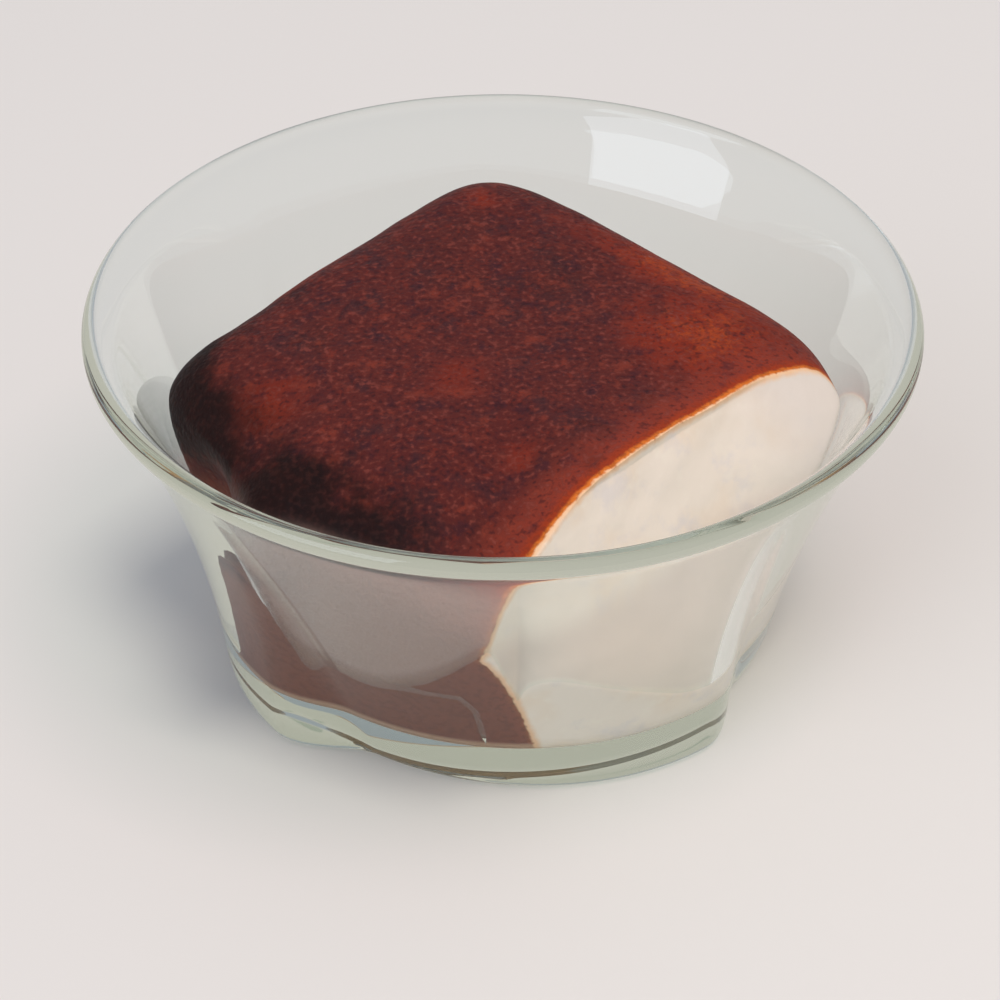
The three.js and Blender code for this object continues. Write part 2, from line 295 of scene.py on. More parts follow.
# %% The tree that repeats a petal
def petal_ring_tree(material):
    tree = bpy.data.node_groups.new("petal ring", "GeometryNodeTree")
    sockets = (
        ("Petal", "INPUT", "NodeSocketGeometry"),
        ("Petals", "INPUT", "NodeSocketInt"),
        ("Sewing distance", "INPUT", "NodeSocketFloat"),
        ("Bowl", "OUTPUT", "NodeSocketGeometry"),
    )
    for name, way, kind in sockets:
        tree.interface.new_socket(name, in_out=way, socket_type=kind)
    given = add_node(tree, "NodeGroupInput")
    places = add_node(tree, "GeometryNodePoints", {"Count": given.outputs["Petals"]})
    quarter = add_node(tree, "ShaderNodeMath", {0: 2 * pi, 1: given.outputs["Petals"]},
                       operation="DIVIDE")
    number = add_node(tree, "GeometryNodeInputIndex")
    turn = add_node(tree, "ShaderNodeMath", {0: number.outputs[0], 1: quarter.outputs[0]},
                    operation="MULTIPLY")
    rotation = add_node(tree, "ShaderNodeCombineXYZ", {"Z": turn.outputs[0]})
    ring = add_node(tree, "GeometryNodeInstanceOnPoints", {
        "Points": places.outputs[0],
        "Instance": given.outputs["Petal"],
        "Rotation": rotation.outputs[0],
    })
    real = add_node(tree, "GeometryNodeRealizeInstances", {0: ring.outputs[0]})
    sewn = add_node(tree, "GeometryNodeMergeByDistance", {
        "Geometry": real.outputs[0],
        "Distance": given.outputs["Sewing distance"],
    })
    smooth = add_node(tree, "GeometryNodeSetShadeSmooth", {0: sewn.outputs[0]})
    glazed = add_node(tree, "GeometryNodeSetMaterial", {
        "Geometry": smooth.outputs[0],
        "Material": material,
    })
    add_node(tree, "NodeGroupOutput", {0: glazed.outputs[0]})
    return tree


def apply_tree(piece, tree, settings):
    """Puts a Geometry Nodes tree on a piece with its inputs set, and returns the plain mesh."""
    modifier = piece.modifiers.new(tree.name, "NODES")
    modifier.node_group = tree
    identifiers = {s.name: s.identifier for s in tree.interface.items_tree if s.in_out == "INPUT"}
    for name, value in settings.items():
        modifier[identifiers[name]] = value
    depsgraph = bpy.context.evaluated_depsgraph_get()
    mesh = bpy.data.meshes.new_from_object(piece.evaluated_get(depsgraph))
    piece.modifiers.remove(modifier)
    return mesh


# %% [markdown]
# ## Pressed soda-lime glass
#
# Tableware glass is soda-lime glass with an index of refraction of about 1.52. Pressed and then
# fire-polished, its skin is almost perfectly smooth. A trace of iron makes it pale green, and
# that shows only where light has come a long way through it: in the thick foot and in the bead.
# So the surface is colourless and the tint is absorption inside. A lamp's rays are let straight
# through, because a renderer can't aim them through a curved wall, and the pudding and the floor
# behind the glass would go dark.

# %% The glass
GLASS_IOR = 1.52
GLASS_ROUGHNESS = 0.0
GLASS_SKIN = "#F7FBF9"
GLASS_TINT = "#B4C2B0"  # what is left of white light after one unit of length
GLASS_TINT_DENSITY = 6.0  # units of length in a metre of glass
GLASS_SHADE = "#EDF2F0"
MOST_MIRRORINGS = 2  # a ray mirrored inside more often than this leaves at the next outer surface


def pressed_glass():
    material = bpy.data.materials.new("pressed soda-lime glass")
    material.use_nodes = True
    tree = material.node_tree
    tree.nodes.clear()
    glass = add_node(tree, "ShaderNodeBsdfPrincipled", {
        "Base Color": linear(GLASS_SKIN),
        "Roughness": GLASS_ROUGHNESS,
        "IOR": GLASS_IOR,
        "Transmission Weight": 1.0,
    })
    clear = add_node(tree, "ShaderNodeBsdfTransparent", {"Color": linear(GLASS_SHADE)})
    path = add_node(tree, "ShaderNodeLightPath")
    outside = add_node(tree, "ShaderNodeAttribute", attribute_name="outside")
    mirrored = add_node(tree, "ShaderNodeMath", {
        0: path.outputs["Glossy Depth"],
        1: MOST_MIRRORINGS + 0.5,
    }, operation="GREATER_THAN")
    trapped = add_node(tree, "ShaderNodeMath", {0: mirrored.outputs[0], 1: outside.outputs["Fac"]},
                       operation="MULTIPLY")
    lighting = add_node(tree, "ShaderNodeMath", {
        0: path.outputs["Is Shadow Ray"],
        1: path.outputs["Is Diffuse Ray"],
    }, operation="MAXIMUM")
    straight = add_node(tree, "ShaderNodeMath", {0: lighting.outputs[0], 1: trapped.outputs[0]},
                        operation="MAXIMUM")
    mixed = add_node(tree, "ShaderNodeMixShader", {
        0: straight.outputs[0],
        1: glass.outputs[0],
        2: clear.outputs[0],
    })
    tint = add_node(tree, "ShaderNodeVolumeAbsorption", {
        "Color": linear(GLASS_TINT),
        "Density": GLASS_TINT_DENSITY,
    })
    add_node(tree, "ShaderNodeOutputMaterial", {
        "Surface": mixed.outputs[0],
        "Volume": tint.outputs[0],
    })
    return material


glass = pressed_glass()
ring_tree = petal_ring_tree(glass)
SEWING_DISTANCE = 0.004 * MM
bowl_mesh = apply_tree(petal, ring_tree, {"Petals": PETALS, "Sewing distance": SEWING_DISTANCE})
bpy.data.objects.remove(petal)
bowl = bpy.data.objects.new("pressed_glass_bowl", bowl_mesh)
bpy.context.collection.objects.link(bowl)
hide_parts("glass_bowl")
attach(bowl, "root")
print("bowl of", len(bowl_mesh.polygons), "faces and", len(bowl_mesh.vertices), "points")

# %% [markdown]
# ## The pudding's shape
#
# The pudding is a soft slab folded on itself. Seen from above it is a lozenge whose left, front
# and right corners are pressed against the glass and whose back corner stands free. Its top is
# pillowed: a superellipse turns each side over into it, tighter at the back corner, which also
# stands higher. At the front right a knife has cut it through, and the cut face sags outwards
# towards the bowl's floor, as soft pudding does.
#
# Cloth or soft-body simulation could slump a block into a bowl, but a rule is exact and quick:
# in each direction the surface is the nearest of three things, the slab's own side, the glass,
# and the cut face. A soft minimum rounds the edges where they meet.

# %% The slab's outline and its top
SHOULDER_HEIGHT = 30.6
TOP_RISE, MIDDLE_RISE = 17.3, 17.6
OUTLINE_POWER = 9.0
SIDE_TUCK = 0.06
SIDE_WAVES = (
    # azimuth, spread, how far out, the height it ends at and the height it fades over
    (-51.0, 6.5, 5.5, 46.0, 12.0),
    (-72.0, 9.0, -4.5, 40.0, 8.0),
)
BACK_LEFT, BACK_RIGHT = (226.0, 38.4), (143.0, 40.0)
SIDES = (BACK_LEFT, BACK_RIGHT, (-60.5, 44.4), (-23.5, 43.1), (94.0, 50.2))
BACK_CORNER, LEFT_BACK, LEFT_TIP, RIGHT_END, CUT_END = 184.0, -125.0, -98.0, 93.0, 4.0
TIP_REACH, TIP_SPREAD = 2.1, 10
# how much more, round which azimuth, over what spread
RISE_HUMPS = ((3.9, BACK_CORNER, 42), (1.5, LEFT_BACK, 20), (0.5, RIGHT_END, 24))
TURN_POWER = 3.0
TURN_HUMPS = (
    (2.6, BACK_CORNER, 66),
    (0.5, LEFT_BACK, 20),
    (0.3, RIGHT_END, 24),
    (-0.85, CUT_END, 15),
)


def hump(azimuth, centre, spread):
    """A soft bump of height 1 round an azimuth."""
    away = (azimuth - centre + 180) % 360 - 180
    return np.exp(-((away / spread) ** 2))


def outline_radius(azimuth):
    total = sum(
        (np.clip(np.cos(np.radians(azimuth - faces)), 0, 1) / distance) ** OUTLINE_POWER
        for faces, distance in SIDES
    )
    return total ** (-1 / OUTLINE_POWER) + TIP_REACH * hump(azimuth, LEFT_TIP, TIP_SPREAD)


def with_humps(azimuth, start, humps):
    """A value all round with humps of (size, azimuth, spread) added to it."""
    return start + sum(size * hump(azimuth, centre, spread) for size, centre, spread in humps)


def edge_rise(azimuth):
    return with_humps(azimuth, TOP_RISE, RISE_HUMPS)


def turn_power(azimuth):
    return with_humps(azimuth, TURN_POWER, TURN_HUMPS)


def eased(value):
    """0 below 0 and 1 above 1, with a soft start and end."""
    share = np.clip(value, 0, 1)
    return share**2 * (3 - 2 * share)


def side_wave(azimuth, height):
    """How far the side swells out or draws in, in millimetres."""
    return sum(
        reach * hump(azimuth, middle, spread) * np.clip((top - height) / fade, 0, 1)
        for middle, spread, reach, top, fade in SIDE_WAVES
    )


print("outline", round(float(outline_radius(0.0)), 2), "mm out at the front")

# %% The cut face
CUT_FACES = 46.7
CUT_DISTANCE = 30.3
SAG, SAG_TOP, SAG_HEIGHT = 13.0, 46.0, 38.0
SAG_CENTRE, SAG_HALF_WIDTH, SAG_POWER = 4.0, 33.0, 4
END_SWELL, END_FROM, END_OVER, END_TOP, END_FADE = 5.7, 8.0, 19.0, 48.5, 15.0
WIDEST_TURN = 1.3  # radians either way that the face is followed
LEAST_FACING, NOWHERE = 0.12, 999.0


def along_cut(azimuth):
    turn = np.radians((azimuth - CUT_FACES + 180) % 360 - 180)
    return np.tan(np.clip(turn, -WIDEST_TURN, WIDEST_TURN)) * CUT_DISTANCE


def cut_radius(azimuth, height, sag=SAG):
    """How far out the cut face lies in a direction; very far where it isn't in the way."""
    along = along_cut(azimuth)
    low = np.clip((SAG_TOP - height) / SAG_HEIGHT, 0, 1)
    inside = np.clip(1 - np.abs((along - SAG_CENTRE) / SAG_HALF_WIDTH) ** SAG_POWER, 0, 1)
    end = eased((along - END_FROM) / END_OVER) * eased((END_TOP - height) / END_FADE)
    reach = CUT_DISTANCE + sag * low * inside + END_SWELL * end
    facing = np.cos(np.radians(azimuth - CUT_FACES))
    return np.where(facing > LEAST_FACING, reach / np.maximum(facing, LEAST_FACING), NOWHERE)


print("cut face", round(float(cut_radius(CUT_FACES, SAG_TOP)), 2), "mm out in its middle")


# %% [markdown]
# ## The pudding's mesh
#
# The columns lie closest together at the front right, where the cut's edge and the fold show,
# and the rows about half a millimetre apart. Noise moves the surface by a fraction of a
# millimetre, because a set skin is never quite even and a knife leaves soft cream wavy. Where
# the pudding touches the glass it reaches a little way into the wall: two surfaces at the same
# place would flicker, and a gap between them would show as a silver film.
#
# The fold shows through the glass as a crease: it runs level along the front left and turns
# down to the floor just left of the cut.

# %% Columns and rows
INTO_GLASS = 0.12
UNDER_GAP = 0.15
EDGE_ROUNDING = 0.45
FINE_FROM, FINE_TO = -36.0, 104.0
FINE_STEP, COARSE_STEP = 0.4, 1.2  # degrees between columns
SIDE_ROWS, SHOULDER_ROWS, CROWN_ROWS, SHOULDER_TURN = 60, 50, 46, 60


def soft_min(a, b, rounding):
    """The smaller of two lengths, rounded where they meet."""
    blend = np.clip(0.5 + 0.5 * (b - a) / rounding, 0, 1)
    return b + (a - b) * blend - rounding * blend * (1 - blend)


def unevenness(points_mm, size, seed):
    """Smooth noise between -1 and 1 whose waves are about `size` millimetres long."""
    shift = Vector((seed * 31.7, seed * 17.3, seed * 7.1))
    flat = points_mm.reshape(-1, 3) / size
    values = np.array([noise.noise(Vector(p) + shift) for p in flat])
    return values.reshape(points_mm.shape[:-1])


azimuths = np.concatenate([
    np.arange(-180.0, FINE_FROM, COARSE_STEP),
    np.arange(FINE_FROM, FINE_TO, FINE_STEP),
    np.arange(FINE_TO, 180.0, COARSE_STEP),
])[:, None]
COLUMNS = len(azimuths)
side_up = np.linspace(0, 1, SIDE_ROWS)[None, :-1]
shoulder_turns = np.linspace(0, SHOULDER_TURN, SHOULDER_ROWS)
crown_turns = np.linspace(SHOULDER_TURN, 90, CROWN_ROWS)[1:]
top_turn = np.radians(np.concatenate([shoulder_turns, crown_turns]))[None, :]

power = turn_power(azimuths)
on_side = np.ones((COLUMNS, side_up.size))
share = np.concatenate([on_side, np.cos(top_turn) ** (2 / power)], axis=1)
share = np.clip(share, 0, 1)
lift = np.concatenate([0 * on_side, np.sin(top_turn) ** (2 / power)], axis=1)
up = np.concatenate([side_up, np.ones(top_turn.shape)], axis=1)
rise = MIDDLE_RISE + (edge_rise(azimuths) - MIDDLE_RISE) * share**2
sole = FLOOR_THICKNESS + UNDER_GAP
heights = sole + (SHOULDER_HEIGHT - sole) * up + rise * lift
free = outline_radius(azimuths) * share * (1 - SIDE_TUCK * (1 - up))
free = free + side_wave(azimuths, heights)
print(COLUMNS, "columns and", heights.shape[1], "rows")

# %% Unevenness, glass and cut
LONG_WAVE, SHORT_WAVE, KNIFE_WAVE = 11.0, 4.5, 6.0
TOP_WAVE_HEIGHT, SIDE_WAVE_DEPTH, KNIFE_DEPTH = 0.28, 0.25, 0.3
GLASS_ROUNDING = 0.8

rough_place = around(azimuths, free, heights) / MM
waves = unevenness(rough_place, LONG_WAVE, 1) + 0.5 * unevenness(rough_place, SHORT_WAVE, 2)
heights = heights + TOP_WAVE_HEIGHT * waves * lift * np.clip(share * 3, 0, 1)
free = free + SIDE_WAVE_DEPTH * waves * (1 - lift)

glass_side = inner_radius(azimuths, heights) + INTO_GLASS
skin_radius = soft_min(free, glass_side, GLASS_ROUNDING)
face_place = np.stack(np.broadcast_arrays(along_cut(azimuths), heights, 0.0), axis=-1)
knife = unevenness(face_place, KNIFE_WAVE, 3)
face_radius = cut_radius(azimuths, heights) + KNIFE_DEPTH * knife
radii = soft_min(skin_radius, face_radius, EDGE_ROUNDING)
print("side from", round(float(radii[:, 0].min()), 1), "mm out at the floor")

# %% The fold
FOLD_LINE = ((-27.0, 19.0), (-8.0, 19.0), (-5.0, 16.0), (-3.0, 8.0))  # its corners: azimuth, height
FOLD_DEPTH, FOLD_WIDTH = 0.3, 0.45
WALL_THERE = 42.0  # the wall's radius at the fold


def distance_to_line(azimuth, height, corners, radius=WALL_THERE):
    """Millimetres to a line of (azimuth, height) corners drawn on the wall."""
    x, y = np.radians(azimuth) * radius, height
    nearest = np.full(np.broadcast(x, y).shape, 1e6)
    for (a0, z0), (a1, z1) in zip(corners, corners[1:]):
        x0, x1 = radians(a0) * radius, radians(a1) * radius
        length = (x1 - x0) ** 2 + (z1 - z0) ** 2
        t = np.clip(((x - x0) * (x1 - x0) + (y - z0) * (z1 - z0)) / length, 0, 1)
        nearest = np.minimum(nearest, np.hypot(x - x0 - t * (x1 - x0), y - z0 - t * (z1 - z0)))
    return nearest


from_fold = distance_to_line(azimuths, heights, FOLD_LINE)
radii = radii - FOLD_DEPTH * np.exp(-((from_fold / FOLD_WIDTH) ** 2))
radii[:, -1] = 0.0
print("fold of", len(FOLD_LINE) - 1, "straight parts")

# %% Faces of the pudding
rows = radii.shape[1]
points = around(azimuths, radii, heights).reshape(-1, 3)
faces = grid_faces(COLUMNS, rows - 1, closed=True)
faces = [tuple(number // (rows - 1) * rows + number % (rows - 1) for number in f) for f in faces]
bottom, top = len(points), len(points) + 1
middle_top = [[0, 0, float(heights[:, -1].mean()) * MM]]
points = np.vstack([points, [[0, 0, sole * MM]], middle_top])
for column in range(COLUMNS):
    beside = (column + 1) % COLUMNS
    faces.append((bottom, beside * rows, column * rows))
    faces.append((column * rows + rows - 2, beside * rows + rows - 2, top))
pudding = mesh_piece("caramelised_milk_pudding", points, faces)
print("pudding of", len(faces), "faces")

# %% [markdown]
# ## Where the skin ends
#
# The material has to know how far a point is from the cut's edge: the skin's last millimetre is
# orange, and the cream beside it is stained. On top, the edge is where the skin and the cut face
# are equally far out. Low down, the cream has pushed out along the glass, so there the edge is a
# line drawn on the wall, with one bend in it. The edge's points are found on the grid's lines,
# and each point of the mesh stores its distance to the nearest of them, positive on the skin,
# negative on the cream.

# %% Distance to the cut's edge, stored on the mesh
LOW_EDGE_BEND, LOW_EDGE_BEND_HEIGHT, LOW_EDGE_TOP = -4.0, 28.5, 36.5
LOW_EDGE_LEAN = 0.42  # degrees for each millimetre above the bend
LOW_EDGE_SPREAD, LOW_EDGE_POWER = 11.0, 0.7  # degrees gained from the bend to the floor
SOLE_ABOVE_FLOOR = 0.4  # points lower than this belong to the underside

inside_cut = cut_radius(azimuths, heights, sag=0.0) - skin_radius
bend_up = LOW_EDGE_LEAN * np.clip(heights - LOW_EDGE_BEND_HEIGHT, 0, None)
bend_drop = LOW_EDGE_BEND_HEIGHT - FLOOR_THICKNESS
bend_down = np.clip((LOW_EDGE_BEND_HEIGHT - heights) / bend_drop, 0, 1)
low_edge = LOW_EDGE_BEND + bend_up + LOW_EDGE_SPREAD * bend_down**LOW_EDGE_POWER
beside_low_edge = np.radians(low_edge - azimuths) * skin_radius
is_low_front = (heights < LOW_EDGE_TOP) & (azimuths < CUT_FACES)
inside_cut = np.where(is_low_front, beside_low_edge, inside_cut)


def seam_points():
    found = []
    place = around(azimuths, radii, heights)
    for axis in (0, 1):
        after = np.roll(inside_cut, -1, axis=axis)
        place_after = np.roll(place, -1, axis=axis)
        crossing = (inside_cut > 0) != (after > 0)
        if axis == 1:
            crossing[:, -1] = False
        share_along = inside_cut / np.where(inside_cut == after, 1, inside_cut - after)
        points_between = place + (place_after - place) * np.clip(share_along, 0, 1)[..., None]
        found.append(points_between[crossing])
    return np.vstack(found)


seam = seam_points()
tree = KDTree(len(seam))
for number, point in enumerate(seam):
    tree.insert(point, number)
tree.balance()
distance = np.array([tree.find(Vector(p))[2] for p in points]) / MM
signs = np.append(np.where(inside_cut.reshape(-1) > 0, 1.0, -1.0), [1.0, 1.0])
store(pudding, "from_edge", distance * signs)
store(pudding, "under", points[:, 2] < (FLOOR_THICKNESS + SOLE_ABOVE_FLOOR) * MM)
print("edge of the cut drawn with", len(seam), "points")

# %% [markdown]
# ## Where the skin browned most and least
#
# The tray wasn't equally hot all over. The skin went nearly black at the left corner and along
# the front left, and in a thin line round the back edges; it stayed rusty at the back corner,
# along the back right side and in a few patches. Both are stored on the mesh as numbers from 0
# to 1, and the material breaks their borders up with noise.

# %% Scorched and rusty areas, stored on the mesh
x_mm, y_mm, z_mm = (points / MM).T
direction = np.degrees(np.arctan2(x_mm, -y_mm))
inward = outline_radius(direction) - np.hypot(x_mm, y_mm)  # millimetres in from the outline


def inside_of(side):
    """Millimetres in from one straight side of the slab."""
    faces_to, distance_out = radians(side[0]), side[1]
    return distance_out - (x_mm * sin(faces_to) - y_mm * cos(faces_to))


def patch_at(x, y, size):
    return np.exp(-(((x_mm - x) ** 2 + (y_mm - y) ** 2) / size**2))


SCORCHED_EDGES = (
    # strength, azimuth, spread, how far in it reaches
    (1.1, -88, 24, 7.5),
    (0.85, -44, 28, 9.5),
    (0.8, 180, 62, 1.6),
)
SCORCH_FROM, SCORCH_OVER = 30, 10  # heights: the side below stays unscorched
RUSTY_BANDS = (
    # strength, along which side, how far in, half width, azimuth, spread
    (1.0, BACK_RIGHT, 7, 6, 128, 34),
    (0.8, BACK_LEFT, 3, 1.6, -125, 16),
)
RUSTY_PATCHES = (
    # strength, x, y, size
    (0.6, -3, 38, 5),
    (0.95, 30, 5, 14),
    (0.55, -34, -10, 9),
    (0.45, -6, -7, 8),
    (0.5, 2, -23, 6),
    (0.6, -38, -21, 4),
)

scorched = np.maximum.reduce([
    strength * hump(direction, azimuth, spread) * np.exp(-((inward / depth) ** 2))
    for strength, azimuth, spread, depth in SCORCHED_EDGES
]) * np.clip((z_mm - SCORCH_FROM) / SCORCH_OVER, 0, 1)
bands = [
    strength * np.exp(-(((inside_of(side) - in_by) / half) ** 2)) * hump(direction, turn, spread)
    for strength, side, in_by, half, turn, spread in RUSTY_BANDS
]
patches = [strength * patch_at(x, y, size) for strength, x, y, size in RUSTY_PATCHES]
rusty = np.maximum.reduce(bands + patches)
store(pudding, "scorched", scorched)
store(pudding, "rusty", rusty)
print("scorched", round(float(scorched.mean()), 3), "rusty", round(float(rusty.mean()), 3))

# %% [markdown]
# ## Where the pudding gets painted reflection, glow and shade
#
# The gap between the pudding and the glass gets a pale painted reflection, most at the front left.
# A pale painted highlight runs where the two meet, and a painted glow along the bottom. Below one
# level the skin gets a paler painted reflection of the glass wall, and the cream, where a gap
# parts it from the glass, a painted shade. The cut face gets a painted shade towards its right
# end. Each is stored as a number from 0 to 1, worked out from the gap to the glass, the height or
# the direction. The painted reflection and the lower zone each end at one level all round. How
# high they reach is a guess, because nothing on the real pudding shows where they end.

# %% Painted reflection, glow and shade, stored on the mesh
REFLECTION_LEVEL, REFLECTION_FADE = 41.0, 4.0
LOWER_ZONE_TOP, LOWER_ZONE_FADE = 35.0, 8.0
REFLECTION_MIDDLE, REFLECTION_SPREAD = -22, 36
FULL_GAP = 0.6  # a gap this wide gets as much painted reflection and painted shade as a wider one
FAR_GAP = 9.0  # for the middle of the top and of the underside
# the pale line where the pudding meets the glass is a painted highlight, the line along the bottom
# a painted glow
GLOW_GAP, GLOW_WIDTH, GLOW_TOP, GLOW_SHARE = 0.1, 0.35, 42, 0.4
BOTTOM_LINE, BOTTOM_WIDTH = 1.0, 1.2  # above the floor
END_HALF_TURN = 60


def gap_to_glass(radius):
    """Millimetres between a radius on the grid and the glass, for every point of the mesh."""
    return np.append((glass_side - radius).reshape(-1), [FAR_GAP, FAR_GAP])


skin_gap, any_gap = gap_to_glass(free), gap_to_glass(radii)
# painted highlight along the line where the skin meets the glass, and painted glow along the bottom
painted_edge_glow = np.exp(-(((skin_gap - GLOW_GAP) / GLOW_WIDTH) ** 2)) * (z_mm < GLOW_TOP)
bottom_glow = np.exp(-(((z_mm - FLOOR_THICKNESS - BOTTOM_LINE) / BOTTOM_WIDTH) ** 2))
# painted reflection: a pale veil where a gap parts the skin from the glass, below one level, most
# at the front left
reflection_zone = eased((REFLECTION_LEVEL - z_mm) / REFLECTION_FADE) * hump(direction, REFLECTION_MIDDLE, REFLECTION_SPREAD)
# below this level the skin gets a painted reflection of the glass wall, and the cream off the glass
# a painted shade
lower_zone = eased((LOWER_ZONE_TOP - z_mm) / LOWER_ZONE_FADE)
# painted shade: the cut face darker towards its right end
painted_end_shade = eased((along_cut(direction) - END_FROM) / END_OVER)
painted_end_shade = painted_end_shade * (np.abs(direction - CUT_FACES) < END_HALF_TURN)
store(pudding, "painted_edge_glow", np.maximum(GLOW_SHARE * painted_edge_glow, bottom_glow))
store(pudding, "gap_reflection", np.clip(skin_gap / FULL_GAP, 0, 1) * reflection_zone)
# low: painted reflection, the lower skin paler as the glass wall mirrors in front of it
store(pudding, "low", lower_zone)
store(pudding, "painted_end_shade", painted_end_shade)
# away: painted shade, the cream darker below the level where a gap parts it from the glass
store(pudding, "away", np.clip(any_gap / FULL_GAP, 0, 1) * lower_zone)
print("reflection_zone", round(float(reflection_zone.mean()), 3), "lower_zone", round(float(lower_zone.mean()), 3))

# %% [markdown]
# ## Caramelised milk skin over white pudding
#
# The skin is milk and sugar browned on hot metal: dark red-brown, matt to satin, finely
# grained, with rusty flecks and darker scorched areas. The pudding inside is white with a
# little cream in it, wet and slightly lumpy where the knife went through.
#
# One surface carries both. Noises of several sizes and the numbers stored above are laid over
# the skin's base colour, one layer after another; each layer has a colour, two limits that say
# where it starts and where it is full, and how much it covers at most. The distance to the
# cut's edge then decides between skin and cream.

# %% Noise for the pudding
NOISES = (
    # name, feature size in mm, detail, roughness
    ("grain", 0.8, 1.0, 0.4),
    ("fleck", 1.5, 3.0, 0.6),
    ("blotch", 3.2, 3.0, 0.6),
    ("patch", 7.0, 4.0, 0.6),
    ("cloud", 16.0, 3.0, 0.5),
    ("lump", 2.6, 2.0, 0.4),
)


def pudding_noises(tree):
    place = add_node(tree, "ShaderNodeTexCoord").outputs["Object"]
    found = {}
    for number, (name, size, detail, rough) in enumerate(NOISES):
        shift = (0.3 * number, 0.7, 0.1)  # so that no two sizes share their pattern
        moved = add_node(tree, "ShaderNodeVectorMath", {0: place, 1: shift}, operation="ADD")
        found[name] = add_node(tree, "ShaderNodeTexNoise", {
            "Vector": moved.outputs[0],
            "Scale": 1 / (size * MM),
            "Detail": detail,
            "Roughness": rough,
        }).outputs["Fac"]
    return found


print("noises of", [size for _, size, _, _ in NOISES], "mm")

# %% The skin's layers and the cream's
SKIN = "#562320"
SKIN_LAYERS = (
    # where, starts, full, most, colour
    ("patch", 0.50, 0.64, 0.75, "#44262A"),
    ("cloud", 0.55, 0.72, 0.55, "#4C2320"),
    ("rust", 0.62, 0.95, 0.85, "#862C18"),
    ("rusty fleck", 0.92, 1.25, 0.75, "#B04A1C"),
    ("edge", 10.0, 1.5, 0.85, "#8E3828"),
    ("fleck", 0.56, 0.72, 0.45, "#7A2C20"),
    ("blotch", 0.53, 0.74, 0.55, "#8A3A2A"),
    ("blotch", 0.47, 0.28, 0.60, "#371D26"),
    ("grain", 0.51, 0.80, 0.55, "#9A4A40"),
    ("grain", 0.49, 0.22, 0.60, "#2E171C"),
    ("scorch", 0.50, 1.05, 0.92, "#180D0C"),
    ("edge", 2.6, 1.0, 0.75, "#9E3816"),
    ("edge", 1.0, 0.35, 0.95, "#D5732C"),
    # low: painted reflection, the lower skin paler as the glass wall mirrors in front of it
    ("low", 0.00, 1.00, 0.85, "#7C4939"),
    ("grain", 0.50, 0.62, 0.25, "#3A201C"),
    # painted reflection: a pale veil over the skin where a gap parts it from the glass
    ("gap_reflection", 0.00, 1.00, 0.85, "#A8857B"),
    # painted highlight where the skin meets the glass and painted glow along the bottom
    ("painted_edge_glow", 0.20, 1.00, 0.75, "#D0AC92"),
)
CREAM = "#FBEDDF"
CREAM_LAYERS = (
    ("cloud", 0.45, 0.65, 0.65, "#F7DFC6"),
    ("patch", 0.50, 0.70, 0.55, "#E6DDDC"),
    ("blotch", 0.55, 0.75, 0.50, "#FFF3E4"),
    # painted shade: the cut face darker towards its right end
    ("painted_end_shade", 0.00, 1.00, 0.85, "#E3D8D0"),
    # away: painted shade, the cream darker below one level where a gap parts it from the glass
    ("away", 0.00, 1.00, 0.90, "#E6D3C7"),
    ("edge", -1.3, -0.1, 0.95, "#F2C49A"),
)


def layered(tree, sources, start, layers):
    """A colour with layers mixed over it, each as far as its source is between its limits."""
    colour = linear(start)
    for source, starts, full, most, over in layers:
        amount = add_node(tree, "ShaderNodeMapRange", {
            "Value": sources[source],
            "From Min": starts,
            "From Max": full,
            "To Max": most,
        }, interpolation_type="SMOOTHSTEP")
        colour = add_node(tree, "ShaderNodeMix", {
            0: amount.outputs["Result"],
            6: colour,
            7: linear(over),
        }, data_type="RGBA").outputs[2]
    return colour


print(len(SKIN_LAYERS), "layers on the skin and", len(CREAM_LAYERS), "on the cream")

# %% The pudding's material
EDGE_WANDER = 1.0  # mm that the skin's edge wanders
SKIN_STARTS, SKIN_FULL = -0.15, 0.3  # mm from the cut's edge
CREAM_ROUGHNESS, SKIN_ROUGHNESS = 0.3, 0.55
PUDDING_IOR, PUDDING_SHINE = 1.38, 0.2
BUMP_HEIGHT = 0.14 * MM
# five of these hold painted light: the reflection in the gap, the highlight and glow lines, the
# lower skin's reflection, and two painted shades on the cream
STORED = ("from_edge", "under", "scorched", "rusty", "painted_edge_glow", "gap_reflection", "low", "away", "painted_end_shade")
BROKEN_BORDERS = (
    # layer's name, noise, stored area, how much the area counts
    ("rust", "patch", "rusty", 0.55),
    ("rusty fleck", "fleck", "rusty", 0.60),
    ("scorch", "patch", "scorched", 0.85),
)


